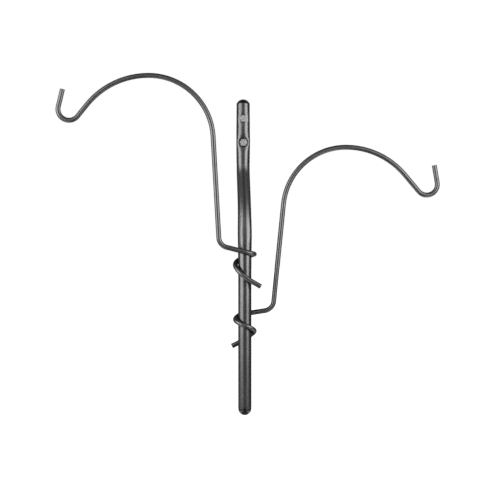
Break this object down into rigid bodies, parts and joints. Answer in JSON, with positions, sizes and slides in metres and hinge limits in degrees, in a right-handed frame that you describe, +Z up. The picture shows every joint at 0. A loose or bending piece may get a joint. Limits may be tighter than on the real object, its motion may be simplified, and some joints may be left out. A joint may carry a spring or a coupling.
{
  "type": "wall-mounted plant hanger",
  "caption": "Bent steel tube screwed to a wall, carrying swivelling rod arms that coil round it and arch out to upturned hooks for hanging planters.",
  "frame": {"origin": "on the wall plane at the back of the tube, midway between the two mounting screws", "axes": "+Z up along the tube, +Y into the wall, +X to the right as seen from the room"},
  "size_m": [0.733, 0.1377, 0.6486],
  "materials": {
    "coated_steel": "dark grey powder coat with a slight hammer texture, semi-gloss",
    "zinc_steel": "zinc plated, dull bright",
    "black_plastic": "moulded, semi-gloss"
  },
  "bodies": {
    "frame": {"main_tube": "coated_steel", "top_cap": "black_plastic", "bottom_cap": "black_plastic", "upper_screw": "zinc_steel", "lower_screw": "zinc_steel"},
    "upper_arm": {"upper_arm": "coated_steel"},
    "lower_arm": {"lower_arm": "coated_steel"}
  },
  "joints": [
    {"name": "upper_arm_swivel", "type": "hinge", "parent": "frame", "child": "upper_arm", "pos_m": [0, -0.0747, -0.2329], "axis": [0, 0, 1], "range_deg": [-14, 80]},
    {"name": "lower_arm_swivel", "type": "hinge", "parent": "frame", "child": "lower_arm", "pos_m": [0, -0.0747, -0.3524], "axis": [0, 0, 1], "range_deg": [-80, 8]}
  ]
}
